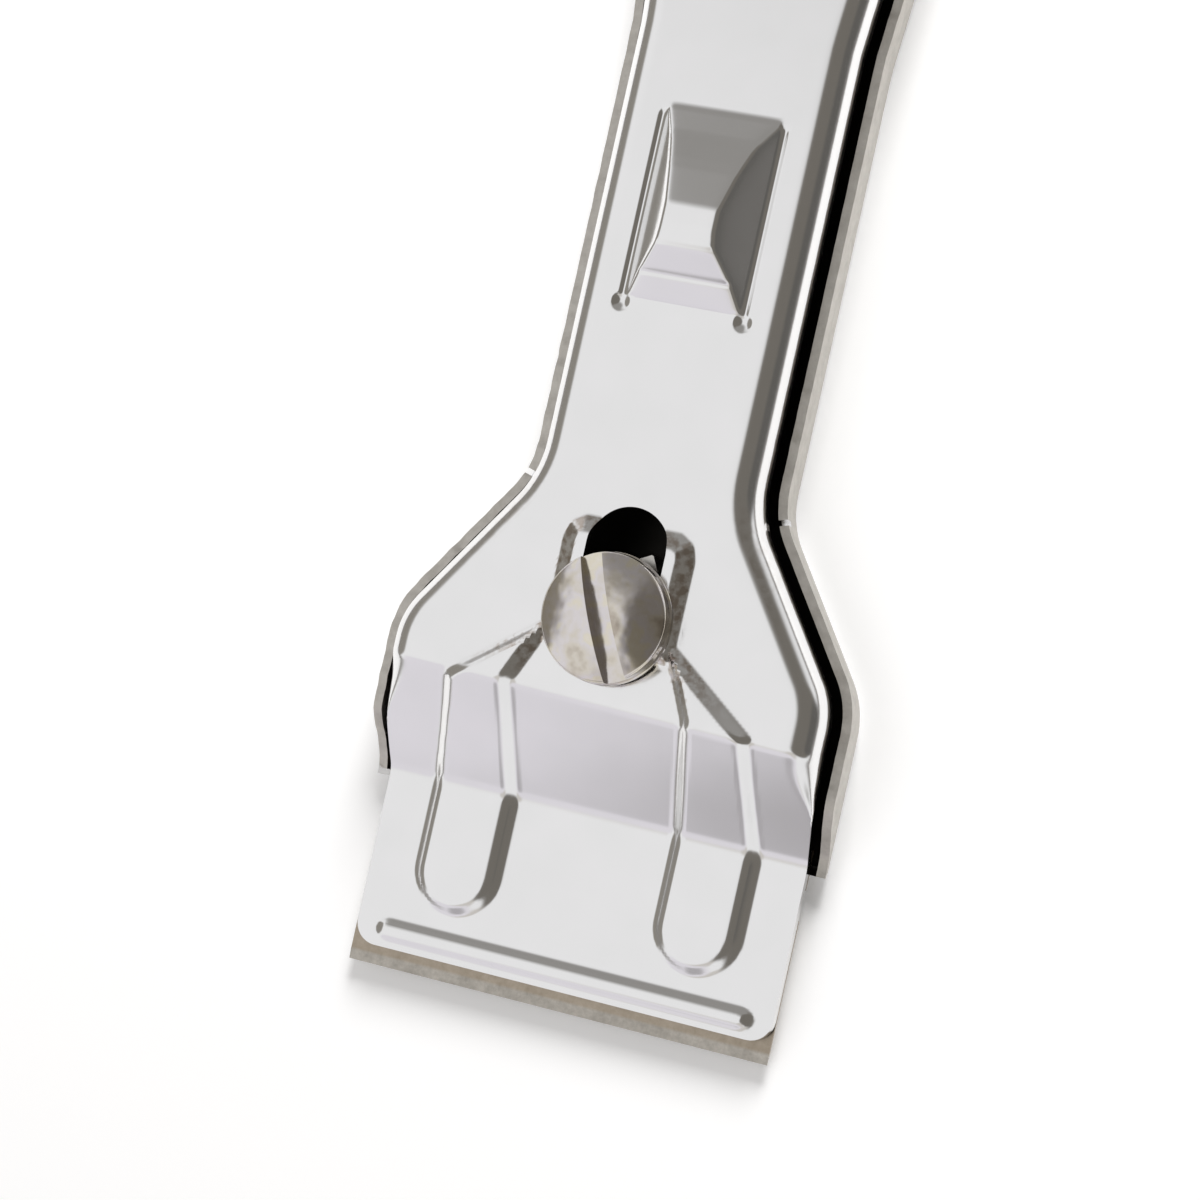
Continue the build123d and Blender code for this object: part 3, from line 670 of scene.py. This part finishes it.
washer = lathe("clamp_washer", [(3.02, 9.9), (5.45, 9.9), (5.6, 10.02), (5.6, 10.26), (5.5, 10.36), (5.35, 10.4),
                                (3.02, 10.4)], SCREW_STATION)
finish_piece(washer, plated_screw, "washer", "screw_washer")


def thread_tree():
    """A ridge wound round the shank, as a node group with its sizes as inputs."""
    tree = bpy.data.node_groups.new("screw_thread", "GeometryNodeTree")
    tree.interface.new_socket("Geometry", in_out="OUTPUT", socket_type="NodeSocketGeometry")
    sizes = (("Radius", 2.72), ("Length", 7.0), ("Turns", 7.0), ("Ridge", 0.22), ("Foot", 2.8))
    for name, value in sizes:
        socket = tree.interface.new_socket(name, in_out="INPUT", socket_type="NodeSocketFloat")
        socket.default_value = value
    tree.interface.new_socket("Material", in_out="INPUT", socket_type="NodeSocketMaterial")
    given = add_node(tree, "NodeGroupInput").outputs
    spiral = add_node(tree, "GeometryNodeCurveSpiral", {"Resolution": 40, "Rotations": given["Turns"],
                                                        "Start Radius": given["Radius"], "End Radius": given["Radius"],
                                                        "Height": given["Length"]})
    ridge = add_node(tree, "GeometryNodeCurvePrimitiveCircle", {"Resolution": 4, "Radius": given["Ridge"]})
    wound = add_node(tree, "GeometryNodeCurveToMesh", {"Curve": spiral.outputs[0], "Profile Curve": ridge.outputs[0],
                                                       "Fill Caps": True})
    place = add_node(tree, "ShaderNodeCombineXYZ", {"Y": (SCREW_STATION - TOOL_LENGTH / 2) * MM, "Z": given["Foot"]})
    moved = add_node(tree, "GeometryNodeTransform", {"Geometry": wound.outputs[0], "Translation": place.outputs[0]})
    real = add_node(tree, "GeometryNodeRealizeInstances", {"Geometry": moved.outputs[0]})
    painted = add_node(tree, "GeometryNodeSetMaterial", {"Geometry": real.outputs[0], "Material": given["Material"]})
    add_node(tree, "NodeGroupOutput", {"Geometry": painted.outputs[0]})
    return tree


holder = bpy.data.objects.new("thread", bpy.data.meshes.new("thread"))
scene.collection.objects.link(holder)
winding = holder.modifiers.new("thread", "NODES")
winding.node_group = thread_tree()
wanted = {"Radius": 2.72 * MM, "Length": 7.0 * MM, "Turns": 7.0, "Ridge": 0.22 * MM, "Foot": 2.8 * MM,
          "Material": plated_screw}
for item in winding.node_group.interface.items_tree:
    if item.in_out == "INPUT":
        winding[item.identifier] = wanted[item.name]
thread = bpy.data.meshes.new_from_object(holder.evaluated_get(bpy.context.evaluated_depsgraph_get()))
bpy.data.objects.remove(holder)

dome = [(CROWN_RADIUS * sin(a), HEAD_TOP - CROWN_RADIUS * (1 - cos(a))) for a in np.linspace(0, CROWN_EDGE, 20)]
head = rounded(dome[-1:] + [(HEAD_RADIUS, 11.72), (HEAD_RADIUS, 10.62), (5.3, 10.45), (2.6, 10.45)], [0.4, 0.1, 0.1])
shank = [(2.55, 10.40), (2.55, 2.85), (2.1, 2.45), (0, 2.45)]
screw = lathe("slotted_screw", dome[:-1] + [tuple(point) for point in head] + shank, SCREW_STATION, 128)
combine(screw, [prism(block(0, SCREW_STATION, SLOT_WIDTH, 14.0, SLOT_TURN), SLOT_FLOOR, 14)], "DIFFERENCE")
shape = bmesh.new()
shape.from_mesh(screw.data)
shape.from_mesh(thread)
bmesh.ops.recalc_face_normals(shape, faces=shape.faces)
shape.to_mesh(screw.data)
shape.free()
finish_piece(screw, plated_screw, "screw", "clamp_screw")


# --- Studio -----------------------------------------------------------------------------------
# A plain pale table under a light tent: bright overhead and in front of the blade, with darker
# cards low on both sides and behind, which draw the dark lines on the plated metal.
def light_tent():
    """The tent's walls, as a sky whose brightness depends on direction only."""
    cards = [  # direction towards the card, half angle where it ends, half angle of its core, colour
        ((0.0, -1.0, 1.0), 24, 8, "#CFCBC6"),
        ((-0.3, -1.0, 0.30), 34, 20, "#E4E1E7"),
        ((-0.12, -0.95, 0.24), 17, 6, "#B1AEB1"),
        ((0.0, 1.0, 0.75), 50, 16, "#94928F"),
        ((1.0, 0.0, 1.30), 47, 33, "#736F69"),
        ((-1.0, 0.0, 0.2), 34, 24, "#8D8982"),
        ((1.0, 0.1, 0.36), 26, 10, "#62605D"),
    ]
    world = bpy.data.worlds.new("light_tent")
    scene.world = world
    world.use_nodes = True
    tree = world.node_tree
    tree.nodes.clear()
    where = add_node(tree, "ShaderNodeTexCoord").outputs["Generated"]
    colour = add_node(tree, "ShaderNodeRGB").outputs[0]
    colour.default_value = hex_colour("#F0F0F1")
    for direction, outer, core, card_colour in cards:
        towards = add_node(tree, "ShaderNodeVectorMath", {0: where, 1: Vector(direction).normalized()},
                           operation="DOT_PRODUCT").outputs["Value"]
        share = add_node(tree, "ShaderNodeMapRange",
                         {"Value": towards, "From Min": cos(radians(outer)), "From Max": cos(radians(core))},
                         interpolation_type="SMOOTHERSTEP").outputs[0]
        colour = add_node(tree, "ShaderNodeMix", {0: share, 6: colour, 7: hex_colour(card_colour)},
                          data_type="RGBA").outputs[2]
    height = add_node(tree, "ShaderNodeSeparateXYZ", {0: where}).outputs["Z"]
    low = add_node(tree, "ShaderNodeMapRange", {"Value": height, "From Min": sin(radians(14)), "From Max": 0.03},
                   interpolation_type="SMOOTHERSTEP").outputs[0]
    colour = add_node(tree, "ShaderNodeMix", {0: low, 6: colour, 7: hex_colour("#8C8986")}, data_type="RGBA").outputs[2]
    sky = add_node(tree, "ShaderNodeBackground", {"Color": colour, "Strength": 1.0})
    add_node(tree, "ShaderNodeOutputWorld", {"Surface": sky.outputs[0]})


def table():
    """The pale table top."""
    mesh = bpy.data.meshes.new("table_top")
    reach, level = 1.2, cad_box[0][2] - 0.02 * MM
    mesh.from_pydata([(x, y, level) for x, y in ((-reach, -reach), (reach, -reach), (reach, reach), (-reach, reach))],
                     [], [(0, 1, 2, 3)])
    top = bpy.data.objects.new("table_top", mesh)
    scene.collection.objects.link(top)
    paper = bpy.data.materials.new("table_white_paper")
    paper.use_nodes = True
    shader = paper.node_tree.nodes["Principled BSDF"]
    shader.inputs["Base Color"].default_value = hex_colour("#FAFAFA")
    shader.inputs["Roughness"].default_value = 0.9
    shader.inputs["Specular IOR Level"].default_value = 0.1
    shader.inputs["Emission Color"].default_value = hex_colour("#FFFFFF")
    shader.inputs["Emission Strength"].default_value = 0.15
    mesh.materials.append(paper)


def key_light():
    """A large soft lamp high on the right, beyond the handle, for the shadow under the blade's edge."""
    lamp = bpy.data.lights.new("key_lamp", "AREA")
    lamp.shape = "DISK"
    lamp.size = 0.32
    lamp.energy = 7.2
    holder = bpy.data.objects.new("key_lamp", lamp)
    holder.location = (0.09, 0.68, 0.40)
    holder.rotation_euler = (-holder.location).to_track_quat("-Z", "Y").to_euler()
    holder.visible_glossy = False
    scene.collection.objects.link(holder)


def camera():
    """The camera, nearly overhead and a little to the right, rolled so that the handle leans right."""
    aim = Vector((-2.96, -37.5, 5.0)) * MM
    away = Vector((0.33797, -0.02563, 0.94081))
    up = Vector((-0.19687, 0.97559, 0.09730))
    distance = 297 * MM
    lens = bpy.data.cameras.new("camera")
    lens.sensor_width = 36
    lens.lens = 105
    lens.clip_start = 0.01
    holder = bpy.data.objects.new("camera", lens)
    back = away.normalized()
    right = up.cross(back).normalized()
    turn = Matrix((right, back.cross(right), back)).transposed()
    holder.matrix_world = Matrix.Translation(aim + back * distance) @ turn.to_4x4()
    scene.collection.objects.link(holder)
    scene.camera = holder


light_tent()
table()
key_light()
camera()
scene.view_settings.view_transform = "Standard"
